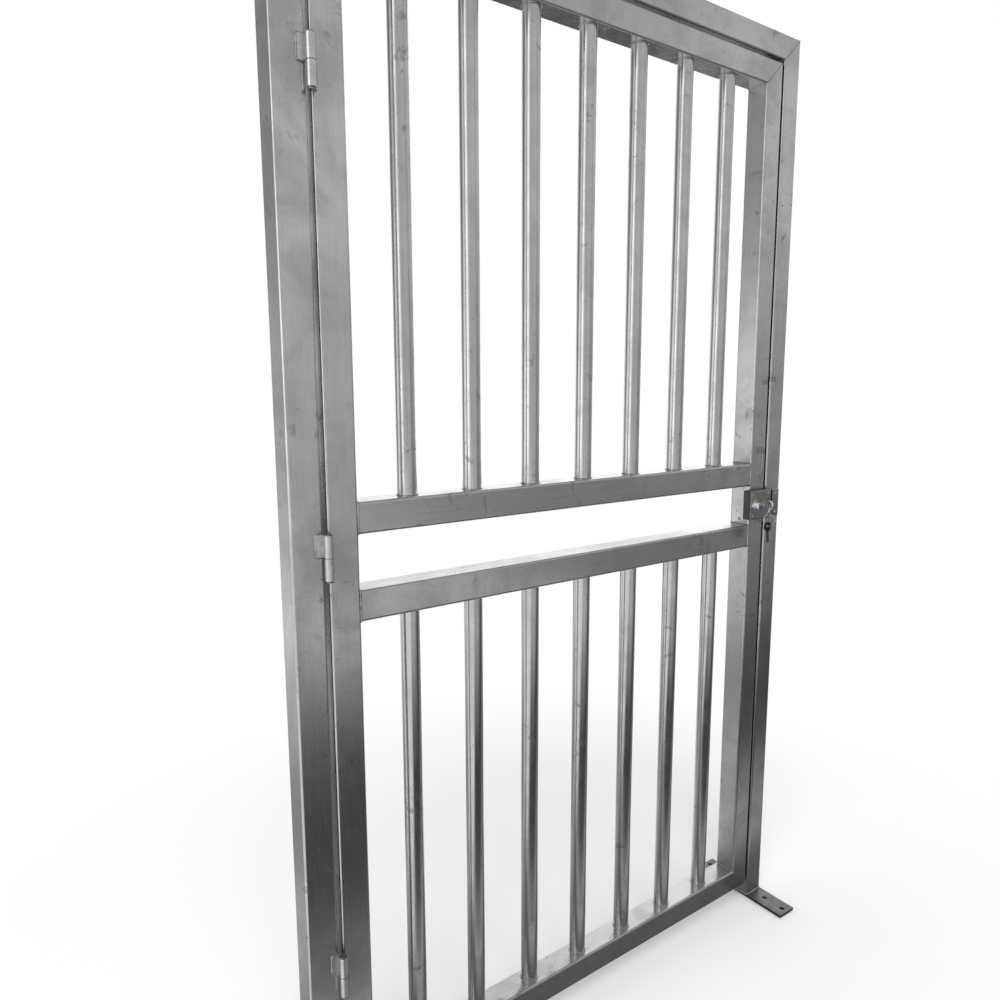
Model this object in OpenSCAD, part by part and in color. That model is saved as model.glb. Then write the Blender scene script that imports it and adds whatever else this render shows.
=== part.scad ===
// Pass gate for the side of a full-height turnstile: a portal of square tube on two foot plates,
// with a barred leaf on three barrel hinges and a surface lock on its closing side.
//
// X runs along the gate from the hinge side to the lock side, Y from the face that carries the
// hinges to the back, Z up. The origin is under the middle of the left foot plate.

/* [Overall size] */
// Width over both posts
frame_width = 1160; // [900:10:1500]
// Height from the floor to the top of the beam
frame_height = 1965; // [1600:5:2400]

/* [Square tube] */
// Side of the square tube of the portal and of the leaf
tube_size = 50; // [40:1:70]
// Wall of the square tube
tube_wall = 2; // [1.5:0.5:3]
// Outside radius of the tube's corners
tube_corner_radius = 4; // [3.5:0.5:6]

/* [Leaf in the portal] */
// Gap between the left post and the leaf
hinge_side_gap = 7; // [6:0.5:12]
// Gap between the leaf and the right post
lock_side_gap = 7; // [7:0.5:15]
// Gap between the leaf and the beam
top_gap = 7; // [5:0.5:15]
// Height of the leaf above the floor
floor_clearance = 39; // [20:1:100]
// Height of the lower edge of the hand gap above the floor
hand_gap_base = 933; // [700:1:1200]
// Height of the hand gap between the two middle rails
hand_gap_height = 87; // [80:1:150]

/* [Bars] */
// Bars in each of the two fields
bar_count = 7; // [4:1:8]
// Outside diameter of a bar
bar_diameter = 32; // [20:1:42]
// Wall of a bar
bar_wall = 1.5; // [1:0.5:3]
// Clear gap between a stile and the bar next to it
end_bar_gap = 82; // [60:1:100]

/* [Foot plates] */
// Length of a plate in front of the post, and behind it
foot_projection = 95; // [80:1:150]
// Thickness of a plate
foot_thickness = 6; // [5:1:12]
// Diameter of the anchor holes
foot_hole_diameter = 12; // [9:1:16]
// Distance from the post to the middle of the nearer hole
foot_hole_offset = 33; // [20:1:40]
// Distance between the two holes on one side of the post
foot_hole_spacing = 49; // [30:1:50]

/* [Hinges] */
// Length of a hinge, both knuckles together
hinge_length = 68; // [50:1:100]
// Outside diameter of the knuckles
hinge_barrel_diameter = 14; // [12:1:20]
// Distance that the wing on the post reaches from the hinge axis
post_wing_width = 16; // [14:1:30]
// Distance that the wing on the leaf reaches from the hinge axis
leaf_wing_width = 10; // [9:1:30]
// Thickness of a wing
hinge_wing_thickness = 3; // [2:0.5:5]
// Diameter of the pins
hinge_pin_diameter = 8; // [6:1:10]
// Clearance all round a pin in its knuckles
hinge_pin_clearance = 0.05; // [0.02:0.01:0.08]
// Gap between the two knuckles
knuckle_gap = 1; // [0.5:0.5:3]
// Diameter of the pin's heads
pin_head_diameter = 11; // [10:1:16]
// Thickness of the pin's heads
pin_head_thickness = 2; // [1:0.5:4]
// Height of the middle of the lower hinge above the floor
lower_hinge_height = 311; // [150:1:450]
// Distance from the top of the beam to the middle of the upper hinge
upper_hinge_drop = 290; // [150:1:450]

/* [Lock] */
// Width of the lock case
lock_width = 71; // [65:1:100]
// Height of the lock case
lock_height = 64; // [56:1:76]
// Depth of the lock case in front of the leaf, its back plate included
lock_depth = 18; // [16:1:30]
// Thickness of the back plate
lock_back_thickness = 2; // [1:0.5:3]
// Height of the middle of the lock above the lower edge of the hand gap
lock_rise = 47; // [30:1:80]
// Height of the latch bolt
bolt_height = 18; // [12:1:24]
// Thickness of the latch bolt
bolt_thickness = 8; // [5:1:8]
// Length of the latch bolt
bolt_length = 38; // [30:1:40]
// Distance that the bolt comes out of the case
bolt_throw = 16; // [12:1:20]
// Distance of the drawn bolt's tip inside the edge of the case
bolt_inset = 1; // [0.5:0.5:3]
// Clearance all round the bolt in the case
bolt_clearance = 0.5; // [0.2:0.1:0.8]
// Width of the keeper on the right post
keeper_width = 24; // [22:1:40]
// Height of the keeper
keeper_height = 60; // [40:1:76]
// Wall of the keeper
keeper_wall = 2.5; // [1.5:0.5:3.5]
// Diameter of the knob's round foot
knob_diameter = 18; // [14:1:24]
// Height of the knob above the case
knob_projection = 13; // [8:1:20]
// Width of the knob's grip
knob_grip_width = 5; // [3:1:8]
// Distance of the knob's middle from the inner edge of the case
knob_inset = 13; // [12:1:16]
// Diameter of the knob's spindle
spindle_diameter = 6; // [4:1:8]
// Distance of the key cylinder's middle from the inner edge of the case
cylinder_inset = 41; // [36:1:50]
// Diameter of the key cylinder's rose
cylinder_diameter = 20; // [16:1:24]
// Height of the rose above the case
cylinder_projection = 4; // [2:1:8]

/* [Hidden] */
$fn = 64;
slack = 1; // how far a cutting solid runs past what it cuts

half_tube = tube_size / 2;
front_face = -half_tube;
right_post_x = frame_width - tube_size;

leaf_left = half_tube + hinge_side_gap;
leaf_right = right_post_x - half_tube - lock_side_gap;
leaf_width = leaf_right - leaf_left;
leaf_bottom = floor_clearance;
leaf_top = frame_height - tube_size - top_gap;
inner_left = leaf_left + tube_size;
inner_width = leaf_width - 2 * tube_size;
lower_mid_z = hand_gap_base - half_tube;
upper_mid_z = hand_gap_base + hand_gap_height + half_tube;

bar_pitch = (inner_width - 2 * end_bar_gap - bar_diameter) / (bar_count - 1);
first_bar_x = inner_left + end_bar_gap + bar_diameter / 2;
lower_bar_base = leaf_bottom + tube_size;
lower_bar_length = lower_mid_z - half_tube - lower_bar_base;
upper_bar_base = upper_mid_z + half_tube;
upper_bar_length = leaf_top - tube_size - upper_bar_base;

hinge_axis_offset = hinge_barrel_diameter / 2 + hinge_wing_thickness; // axis to the front faces
hinge_x = half_tube + hinge_side_gap / 2;
hinge_y = front_face - hinge_axis_offset;
knuckle_length = (hinge_length - knuckle_gap) / 2;
lower_hinge_z = lower_hinge_height;
upper_hinge_z = frame_height - upper_hinge_drop;
middle_hinge_z = (lower_hinge_z + upper_hinge_z) / 2;

lock_z = hand_gap_base + lock_rise;
lock_left = leaf_right - lock_width;
bolt_y = front_face - lock_depth / 2;
case_depth = lock_depth - lock_back_thickness;
case_front = front_face - lock_depth;
case_back = front_face - lock_back_thickness;
knob_x = lock_left + knob_inset;
cylinder_x = lock_left + cylinder_inset;
knob_foot_gap = 0.5; // between the knob's foot and the case
knob_foot_thickness = 2;
spindle_clearance = 0.05;
spindle_collar_diameter = spindle_diameter + 4;
spindle_collar_thickness = 2;
collar_room = 1; // all round the spindle's collar in its pocket
keeper_left = right_post_x - half_tube;

upper_bars = [for (i = [1 : bar_count]) str("upper_bar_", i)];
lower_bars = [for (i = [1 : bar_count]) str("lower_bar_", i)];

// ---- shapes that repeat ----

// Square with round corners
module rounded_square(side, radius) {
    straight = side - 2 * radius;
    square([side, straight], center = true);
    square([straight, side], center = true);
    for (x = [-1, 1], y = [-1, 1])
        translate([x * straight / 2, y * straight / 2]) circle(r = radius);
}

// Square tube along Z from the origin
module square_tube(length) {
    linear_extrude(length)
        difference() {
            rounded_square(tube_size, tube_corner_radius);
            rounded_square(tube_size - 2 * tube_wall, tube_corner_radius - tube_wall);
        }
}

// Wedge above a 45 degree plane that falls towards +X and meets the corner at the origin
module mitre_wedge() {
    reach = tube_size + slack;
    rotate([90, 0, 0])
        linear_extrude(tube_size + 2 * slack, center = true)
            polygon([[-slack, slack], [reach, -reach], [reach, reach], [-slack, reach]]);
}

// Square tube along Z with mitred ends, its shorter side towards +X
module mitred_tube(length, mitre_start, mitre_end) {
    difference() {
        square_tube(length);
        if (mitre_end)
            translate([-half_tube, 0, length]) mitre_wedge();
        if (mitre_start)
            translate([-half_tube, 0, 0]) mirror([0, 0, 1]) mitre_wedge();
    }
}

// Round tube along Z from the origin
module round_tube(length) {
    difference() {
        cylinder(d = bar_diameter, h = length);
        translate([0, 0, -slack])
            cylinder(d = bar_diameter - 2 * bar_wall, h = length + 2 * slack);
    }
}

// ---- portal ----

module post() {
    translate([0, 0, foot_thickness])
        mitred_tube(frame_height - foot_thickness, false, true);
}

module left_post() {
    color("silver") post();
}

module right_post() {
    color("silver") translate([right_post_x, 0, 0]) mirror([1, 0, 0]) post();
}

module top_beam() {
    color("silver")
        translate([-half_tube, 0, frame_height - half_tube])
            rotate([0, 90, 0]) mitred_tube(frame_width, true, true);
}

// Flat bar under a post, front to back, with two anchor holes each way
module foot_plate() {
    length = tube_size + 2 * foot_projection;
    difference() {
        translate([-half_tube, -length / 2, 0]) cube([tube_size, length, foot_thickness]);
        for (side = [-1, 1], hole = [0, 1])
            translate([0, side * (half_tube + foot_hole_offset + hole * foot_hole_spacing), -slack])
                cylinder(d = foot_hole_diameter, h = foot_thickness + 2 * slack);
    }
}

module left_foot_plate() {
    color("silver") foot_plate();
}

module right_foot_plate() {
    color("silver") translate([right_post_x, 0, 0]) foot_plate();
}

// ---- leaf ----

module stile() {
    mitred_tube(leaf_top - leaf_bottom, true, true);
}

module hinge_stile() {
    color("gainsboro") translate([leaf_left + half_tube, 0, leaf_bottom]) stile();
}

module lock_stile() {
    color("gainsboro")
        translate([leaf_right - half_tube, 0, leaf_bottom]) mirror([1, 0, 0]) stile();
}

module leaf_top_rail() {
    color("gainsboro")
        translate([leaf_left, 0, leaf_top - half_tube])
            rotate([0, 90, 0]) mitred_tube(leaf_width, true, true);
}

module leaf_bottom_rail() {
    color("gainsboro")
        translate([leaf_right, 0, leaf_bottom + half_tube])
            rotate([0, -90, 0]) mitred_tube(leaf_width, true, true);
}

// Middle rail, butted between the stiles
module mid_rail(height) {
    color("gainsboro")
        translate([inner_left, 0, height]) rotate([0, 90, 0]) square_tube(inner_width);
}

module lower_mid_rail() {
    mid_rail(lower_mid_z);
}

module upper_mid_rail() {
    mid_rail(upper_mid_z);
}

// Bar number i of a field, counted from the hinge side
module bar(i, base, length) {
    color("lightgray") translate([first_bar_x + (i - 1) * bar_pitch, 0, base]) round_tube(length);
}

// ---- hinges ----

// One half of a hinge: a knuckle with a wing on the front face, towards +X for side 1 and
// towards -X for side -1. Its lower end is at the origin and its axis is Z.
module hinge_half(side) {
    radius = hinge_barrel_diameter / 2;
    wing_width = side > 0 ? leaf_wing_width : post_wing_width;
    color("whitesmoke")
        difference() {
            union() {
                cylinder(r = radius, h = knuckle_length);
                translate([side > 0 ? 0 : -radius, 0, 0])
                    cube([radius, hinge_axis_offset, knuckle_length]);
                translate([side > 0 ? 0 : -wing_width, radius, 0])
                    cube([wing_width, hinge_wing_thickness, knuckle_length]);
            }
            translate([0, 0, -slack])
                cylinder(d = hinge_pin_diameter + 2 * hinge_pin_clearance,
                         h = knuckle_length + 2 * slack);
        }
}

// The post carries the upper half of each hinge and the leaf the lower half
module hinge_post_half(height) {
    translate([hinge_x, hinge_y, height + knuckle_gap / 2]) hinge_half(-1);
}

module hinge_leaf_half(height) {
    translate([hinge_x, hinge_y, height - hinge_length / 2]) hinge_half(1);
}

// Pin with a head on the upper knuckle and one just under the lower knuckle
module hinge_pin(height) {
    color("whitesmoke")
        translate([hinge_x, hinge_y, height - hinge_length / 2 - knuckle_gap]) {
            cylinder(d = hinge_pin_diameter, h = hinge_length + knuckle_gap);
            translate([0, 0, -pin_head_thickness])
                cylinder(d = pin_head_diameter, h = pin_head_thickness);
            translate([0, 0, hinge_length + knuckle_gap])
                cylinder(d = pin_head_diameter, h = pin_head_thickness);
        }
}

// ---- lock ----

// Case with a channel for the bolt and a stepped bore for the knob's spindle
module lock_case() {
    channel_length = bolt_length + 2 * bolt_inset;
    color("darkgray")
        difference() {
            translate([lock_left, case_front, lock_z - lock_height / 2])
                cube([lock_width, case_depth, lock_height]);
            translate([leaf_right - channel_length,
                       bolt_y - bolt_thickness / 2 - bolt_clearance,
                       lock_z - bolt_height / 2 - bolt_clearance])
                cube([channel_length + slack, bolt_thickness + 2 * bolt_clearance,
                      bolt_height + 2 * bolt_clearance]);
            translate([knob_x, case_back + slack, lock_z])
                rotate([90, 0, 0]) {
                    cylinder(d = spindle_diameter + 2 * spindle_clearance,
                             h = case_depth + 2 * slack);
                    cylinder(d = spindle_collar_diameter + 2 * collar_room,
                             h = slack + spindle_collar_thickness + 2 * collar_room);
                }
        }
}

module lock_back_plate() {
    color("silver")
        translate([lock_left, case_back, lock_z - lock_height / 2])
            cube([lock_width, lock_back_thickness, lock_height]);
}

module lock_cylinder() {
    color("gold")
        translate([cylinder_x, case_front, lock_z])
            rotate([90, 0, 0]) cylinder(d = cylinder_diameter, h = cylinder_projection);
}

// Bolt drawn into the case
module latch_bolt() {
    color("lightslategray")
        translate([leaf_right - bolt_inset - bolt_length, bolt_y - bolt_thickness / 2,
                   lock_z - bolt_height / 2])
            cube([bolt_length, bolt_thickness, bolt_height]);
}

// Round foot, upright grip, and a spindle with a collar behind the front of the case
module lock_knob() {
    foot_start = knob_foot_gap;
    grip_start = foot_start + knob_foot_thickness;
    spindle_end = case_depth - spindle_collar_thickness - collar_room;
    color("whitesmoke")
        translate([knob_x, case_front, lock_z])
            rotate([90, 0, 0]) {
                translate([0, 0, foot_start])
                    cylinder(d = knob_diameter, h = knob_foot_thickness);
                translate([-knob_grip_width / 2, -knob_diameter / 2 + 1, grip_start])
                    cube([knob_grip_width, knob_diameter - 2,
                          knob_projection - grip_start]);
                translate([0, 0, -spindle_end])
                    cylinder(d = spindle_diameter, h = spindle_end + foot_start);
                translate([0, 0, -spindle_end - spindle_collar_thickness])
                    cylinder(d = spindle_collar_diameter, h = spindle_collar_thickness);
            }
}

// Box on the right post, open towards the leaf
module lock_keeper() {
    color("darkgray")
        translate([keeper_left, front_face - lock_depth, lock_z - keeper_height / 2])
            difference() {
                cube([keeper_width, lock_depth, keeper_height]);
                translate([-slack, keeper_wall, keeper_wall])
                    cube([keeper_width - keeper_wall + slack, lock_depth - 2 * keeper_wall,
                          keeper_height - 2 * keeper_wall]);
            }
}

// ---- what is drawn ----

left_post();
right_post();
top_beam();
left_foot_plate();
right_foot_plate();
hinge_post_half(lower_hinge_z);  // lower_hinge_post_half
hinge_post_half(middle_hinge_z);  // middle_hinge_post_half
hinge_post_half(upper_hinge_z);  // upper_hinge_post_half
hinge_pin(lower_hinge_z);  // lower_hinge_pin
hinge_pin(middle_hinge_z);  // middle_hinge_pin
hinge_pin(upper_hinge_z);  // upper_hinge_pin
lock_keeper();
hinge_stile();
lock_stile();
leaf_top_rail();
leaf_bottom_rail();
lower_mid_rail();
upper_mid_rail();
hinge_leaf_half(lower_hinge_z);  // lower_hinge_leaf_half
hinge_leaf_half(middle_hinge_z);  // middle_hinge_leaf_half
hinge_leaf_half(upper_hinge_z);  // upper_hinge_leaf_half
lock_case();
lock_back_plate();
lock_cylinder();
latch_bolt();
lock_knob();
for (i = [1 : bar_count]) {
    bar(i, lower_bar_base, lower_bar_length);
    bar(i, upper_bar_base, upper_bar_length);
}
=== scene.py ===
import math
import bpy
from mathutils import Euler, Matrix, Vector


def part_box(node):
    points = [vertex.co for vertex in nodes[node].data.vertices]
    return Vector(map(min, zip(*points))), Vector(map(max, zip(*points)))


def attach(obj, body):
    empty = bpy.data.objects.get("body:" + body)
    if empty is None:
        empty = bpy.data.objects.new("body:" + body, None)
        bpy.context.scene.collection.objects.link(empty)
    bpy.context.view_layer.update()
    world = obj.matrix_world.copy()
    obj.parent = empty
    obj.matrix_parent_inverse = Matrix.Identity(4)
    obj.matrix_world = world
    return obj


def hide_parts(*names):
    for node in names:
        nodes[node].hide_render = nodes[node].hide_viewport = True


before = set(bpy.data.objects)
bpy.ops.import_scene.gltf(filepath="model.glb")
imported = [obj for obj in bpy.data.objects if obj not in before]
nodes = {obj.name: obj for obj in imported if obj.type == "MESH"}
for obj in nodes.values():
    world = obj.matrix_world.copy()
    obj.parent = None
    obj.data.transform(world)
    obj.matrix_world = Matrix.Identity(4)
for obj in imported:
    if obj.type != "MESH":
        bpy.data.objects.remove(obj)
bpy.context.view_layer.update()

# Places that the pieces share, all read from the frame
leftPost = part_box("left_post")
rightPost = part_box("right_post")
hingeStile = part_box("hinge_stile")
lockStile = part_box("lock_stile")
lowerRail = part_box("lower_mid_rail")
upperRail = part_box("upper_mid_rail")
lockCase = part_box("lock_case")
tubeSize = leftPost[1].y - leftPost[0].y
frontY = leftPost[0].y
gateMiddle = Vector(((leftPost[0].x + rightPost[1].x) / 2, 0, leftPost[1].z / 2))
fieldNames = ("lower_bar_", "upper_bar_")
hingeNames = ("lower", "middle", "upper")


def startFresh():
    if bpy.context.mode != "OBJECT":
        bpy.ops.object.mode_set(mode="OBJECT")
    bpy.ops.object.select_all(action="DESELECT")


def pickOnly(piece):
    startFresh()
    piece.select_set(True)
    bpy.context.view_layer.objects.active = piece


def settle(piece, name):
    pickOnly(piece)
    bpy.ops.object.transform_apply(location=True, rotation=True, scale=True)
    piece.name = piece.data.name = name
    return piece


def turnOutwards(piece):
    pickOnly(piece)
    bpy.ops.object.mode_set(mode="EDIT")
    bpy.ops.mesh.select_all(action="SELECT")
    bpy.ops.mesh.remove_doubles(threshold=0.00001)
    bpy.ops.mesh.normals_make_consistent(inside=False)
    bpy.ops.object.mode_set(mode="OBJECT")


def selectFaces(piece, test):
    bpy.ops.object.mode_set(mode="EDIT")
    bpy.ops.mesh.select_mode(type="FACE")
    bpy.ops.mesh.select_all(action="DESELECT")
    bpy.ops.object.mode_set(mode="OBJECT")
    for face in piece.data.polygons:
        face.select = test(face.center, face.normal)
    bpy.ops.object.mode_set(mode="EDIT")


def selectEdges(piece, test):
    bpy.ops.object.mode_set(mode="EDIT")
    bpy.ops.mesh.select_mode(type="EDGE")
    bpy.ops.mesh.select_all(action="DESELECT")
    bpy.ops.object.mode_set(mode="OBJECT")
    points = piece.data.vertices
    for edge in piece.data.edges:
        edge.select = test(points[edge.vertices[0]].co, points[edge.vertices[1]].co)
    bpy.ops.object.mode_set(mode="EDIT")


def joinAll(parts, name):
    startFresh()
    for part in parts:
        part.select_set(True)
    bpy.context.view_layer.objects.active = parts[0]
    if len(parts) > 1:
        bpy.ops.object.join()
    return settle(parts[0], name)


def copyTo(pattern, place):
    twin = pattern.copy()
    twin.data = pattern.data.copy()
    twin.location = place
    bpy.context.scene.collection.objects.link(twin)
    return twin


def bevelEdges(piece, width, segments):
    soften = piece.modifiers.new("edges", "BEVEL")
    soften.width = width
    soften.segments = segments
    soften.limit_method = "ANGLE"
    pickOnly(piece)
    bpy.ops.object.modifier_apply(modifier=soften.name)


def smooth(piece, angle=35):
    pickOnly(piece)
    bpy.ops.object.shade_smooth_by_angle(angle=math.radians(angle))


def newGroup(name, inputs, outputs):
    group = bpy.data.node_groups.new(name, "ShaderNodeTree")
    for label, kind, value in inputs:
        socket = group.interface.new_socket(name=label, in_out="INPUT", socket_type=kind)
        if value is not None:
            socket.default_value = value
    for label, kind in outputs:
        group.interface.new_socket(name=label, in_out="OUTPUT", socket_type=kind)
    return group, group.nodes.new("NodeGroupInput"), group.nodes.new("NodeGroupOutput")


def addMath(tree, operation, first, second=None, clamp=False):
    step = tree.nodes.new("ShaderNodeMath")
    step.operation = operation
    step.use_clamp = clamp
    for socket, value in zip(step.inputs, (first, second)):
        if isinstance(value, bpy.types.NodeSocket):
            tree.links.new(value, socket)
        elif value is not None:
            socket.default_value = value
    return step.outputs[0]


def addNoise(tree, vector, scale, detail=3.0, rough=0.55, warp=0.0):
    noise = tree.nodes.new("ShaderNodeTexNoise")
    noise.inputs["Detail"].default_value = detail
    noise.inputs["Roughness"].default_value = rough
    noise.inputs["Distortion"].default_value = warp
    tree.links.new(vector, noise.inputs["Vector"])
    if isinstance(scale, bpy.types.NodeSocket):
        tree.links.new(scale, noise.inputs["Scale"])
    else:
        noise.inputs["Scale"].default_value = scale
    return noise.outputs["Fac"]


def addRange(tree, value, low, high, newLow=0.0, newHigh=1.0):
    step = tree.nodes.new("ShaderNodeMapRange")
    step.interpolation_type = "SMOOTHSTEP"
    for socket, number in zip(step.inputs[1:5], (low, high, newLow, newHigh)):
        socket.default_value = number
    tree.links.new(value, step.inputs["Value"])
    return step.outputs["Result"]


def addMix(tree, amount, first, second, blend="MIX"):
    mix = tree.nodes.new("ShaderNodeMix")
    mix.data_type = "RGBA"
    mix.blend_type = blend
    for socket, value in zip((mix.inputs[0], mix.inputs[6], mix.inputs[7]), (amount, first, second)):
        if isinstance(value, bpy.types.NodeSocket):
            tree.links.new(value, socket)
        else:
            socket.default_value = value
    return mix.outputs[2]


grainLook = {"fine": 0.55, "broad": 0.45, "broadScale": 0.23}


def makeGrainGroup():
    # Fine drawn lines along a tube: the vector comes in already stretched
    group, source, sink = newGroup(
        "drawnGrain",
        [("Vector", "NodeSocketVector", None), ("Contrast", "NodeSocketFloat", 1.0)],
        [("Grain", "NodeSocketFloat"), ("Height", "NodeSocketFloat")])
    vector = source.outputs["Vector"]
    fine = addNoise(group, vector, 1.0, 2.0, 0.5)
    broad = addNoise(group, vector, grainLook["broadScale"], 3.0, 0.6)
    both = addMath(group, "ADD", addMath(group, "MULTIPLY", fine, grainLook["fine"]),
                   addMath(group, "MULTIPLY", broad, grainLook["broad"]))
    centred = addMath(group, "MULTIPLY", addMath(group, "SUBTRACT", both, 0.5), source.outputs["Contrast"])
    group.links.new(addMath(group, "ADD", centred, 0.5, clamp=True), sink.inputs["Grain"])
    group.links.new(both, sink.inputs["Height"])
    return group


handlingLook = {
    "cloud": (0.36, 0.68),
    "stain": (0.6, 0.7),
    "patchScale": 5.0,
    "patch": (0.44, 0.58),
    "scuffScale": 26.0,
    "scuffWidth": 0.012,
    "breakScale": 75.0,
    "break": (0.52, 0.6),
}


def makeHandlingGroup():
    # Cloudy wipe marks, small stains and thin scuffs left by work on bare steel
    group, source, sink = newGroup(
        "handlingMarks",
        [("Vector", "NodeSocketVector", None), ("Clouds", "NodeSocketFloat", 9.0),
         ("Stains", "NodeSocketFloat", 34.0)],
        [("Cloud", "NodeSocketFloat"), ("Stain", "NodeSocketFloat"), ("Scuff", "NodeSocketFloat")])
    vector = source.outputs["Vector"]
    look = handlingLook
    cloud = addRange(group, addNoise(group, vector, source.outputs["Clouds"], 4.0, 0.62, 0.6), *look["cloud"])
    stain = addRange(group, addNoise(group, vector, source.outputs["Stains"], 3.0, 0.55, 0.7), *look["stain"])
    patch = addRange(group, addNoise(group, vector, look["patchScale"], 2.0), *look["patch"])
    ridges = addNoise(group, vector, look["scuffScale"], 2.0, 0.5, 0.5)
    thin = addMath(group, "ABSOLUTE", addMath(group, "SUBTRACT", ridges, 0.5))
    gaps = addRange(group, addNoise(group, vector, look["breakScale"], 2.0), *look["break"])
    broken = addMath(group, "MULTIPLY", patch, gaps)
    scuff = addMath(group, "MULTIPLY", addRange(group, thin, 0.0, look["scuffWidth"], 1.0, 0.0), broken)
    group.links.new(cloud, sink.inputs["Cloud"])
    group.links.new(addMath(group, "MULTIPLY", stain, patch), sink.inputs["Stain"])
    group.links.new(scuff, sink.inputs["Scuff"])
    return group


def makeNearGroup():
    # 1 at a place, falling to 0 at the stated reach, with a ragged edge
    group, source, sink = newGroup(
        "nearPlace",
        [("Vector", "NodeSocketVector", None), ("Place", "NodeSocketVector", None),
         ("Reach", "NodeSocketFloat", 0.05)],
        [("Mask", "NodeSocketFloat")])
    gap = group.nodes.new("ShaderNodeVectorMath")
    gap.operation = "DISTANCE"
    group.links.new(source.outputs["Vector"], gap.inputs[0])
    group.links.new(source.outputs["Place"], gap.inputs[1])
    share = addMath(group, "DIVIDE", gap.outputs["Value"], source.outputs["Reach"])
    ragged = addMath(group, "MULTIPLY", addNoise(group, source.outputs["Vector"], 40.0, 3.0), 0.7)
    mask = addRange(group, addMath(group, "ADD", share, ragged), 0.55, 1.3, 1.0, 0.0)
    group.links.new(mask, sink.inputs["Mask"])
    return group


grainGroup = makeGrainGroup()
handlingGroup = makeHandlingGroup()
nearGroup = makeNearGroup()


def addGroup(tree, group, vector, **values):
    step = tree.nodes.new("ShaderNodeGroup")
    step.node_tree = group
    tree.links.new(vector, step.inputs["Vector"])
    for label, value in values.items():
        step.inputs[label].default_value = value
    return step.outputs


def startMetal(name):
    metal = bpy.data.materials.new(name)
    metal.use_nodes = True
    tree = metal.node_tree
    shader = tree.nodes["Principled BSDF"]
    shader.inputs["Metallic"].default_value = 1.0
    place = tree.nodes.new("ShaderNodeTexCoord").outputs["Object"]
    return metal, tree, shader, place


def stretch(tree, place, run, across, along):
    mapping = tree.nodes.new("ShaderNodeMapping")
    scale = {"x": (along, across, across), "z": (across, across, along), "y": (across, along, across)}[run]
    mapping.inputs["Scale"].default_value = scale
    tree.links.new(place, mapping.inputs["Vector"])
    return mapping.outputs["Vector"]


steelLook = {
    "tone": (0.62, 0.62, 0.625, 1),
    "dull": (0.50, 0.50, 0.505, 1),
    "nearJointDark": (0.36, 0.355, 0.35, 1),
    "smoke": (0.27, 0.27, 0.28, 1),
    "rough": 0.2,
    "grain": 0.22,
    "grainAcross": 1300,
    "grainAlong": 26,
    "grainContrast": 1.5,
    "stainScale": 34.0,
    "nearJointDarkMix": 0.55,
    "stainMix": 0.62,
    "scuffMix": 0.55,
    "cloudRough": 0.1,
    "grainRough": 0.06,
    "stainRough": 0.12,
    "roughShift": -0.04,
    "bump": 0.1,
    "bumpDepth": 0.00012,
}


def makeSteel(name, run, jointDarkPlaces, cloudScale=9.0, rough=None, tone=None, dull=None):
    look = steelLook
    metal, tree, shader, place = startMetal(name)
    drawn = stretch(tree, place, run, look["grainAcross"], look["grainAlong"])
    grain = addGroup(tree, grainGroup, drawn, Contrast=look["grainContrast"])
    marks = addGroup(tree, handlingGroup, place, Clouds=cloudScale, Stains=look["stainScale"])
    colour = addMix(tree, marks["Cloud"], tone or look["tone"], dull or look["dull"])
    streak = addMath(tree, "MULTIPLY", addMath(tree, "SUBTRACT", grain["Grain"], 0.5), look["grain"])
    level = addMath(tree, "ADD", streak, 1.0)
    tinted = tree.nodes.new("ShaderNodeHueSaturation")
    tree.links.new(colour, tinted.inputs["Color"])
    tree.links.new(level, tinted.inputs["Value"])
    colour = tinted.outputs["Color"]
    # Darker grey in soft ragged spots round the hinges and the frame corners
    nearJointDark = None
    for point, reach in jointDarkPlaces:
        near = addGroup(tree, nearGroup, place, Place=point, Reach=reach)["Mask"]
        nearJointDark = near if nearJointDark is None else addMath(tree, "MAXIMUM", nearJointDark, near)
    if nearJointDark is not None:
        soft = addMath(tree, "MULTIPLY", nearJointDark, look["nearJointDarkMix"])
        colour = addMix(tree, soft, colour, look["nearJointDark"])
    colour = addMix(tree, addMath(tree, "MULTIPLY", marks["Stain"], look["stainMix"]), colour, look["smoke"])
    colour = addMix(tree, addMath(tree, "MULTIPLY", marks["Scuff"], look["scuffMix"]), colour, look["smoke"])
    tree.links.new(colour, shader.inputs["Base Color"])
    base = (rough or look["rough"]) + look["roughShift"]
    roughness = addMath(tree, "ADD", addMath(tree, "MULTIPLY", marks["Cloud"], look["cloudRough"]), base)
    roughness = addMath(tree, "ADD", roughness, addMath(tree, "MULTIPLY", grain["Grain"], look["grainRough"]))
    roughness = addMath(tree, "ADD", roughness, addMath(tree, "MULTIPLY", marks["Stain"], look["stainRough"]))
    tree.links.new(roughness, shader.inputs["Roughness"])
    bump = tree.nodes.new("ShaderNodeBump")
    bump.inputs["Strength"].default_value = look["bump"]
    bump.inputs["Distance"].default_value = look["bumpDepth"]
    height = addMath(tree, "SUBTRACT", grain["Height"], addMath(tree, "MULTIPLY", marks["Scuff"], 0.4))
    tree.links.new(height, bump.inputs["Height"])
    tree.links.new(bump.outputs["Normal"], shader.inputs["Normal"])
    return metal


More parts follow.
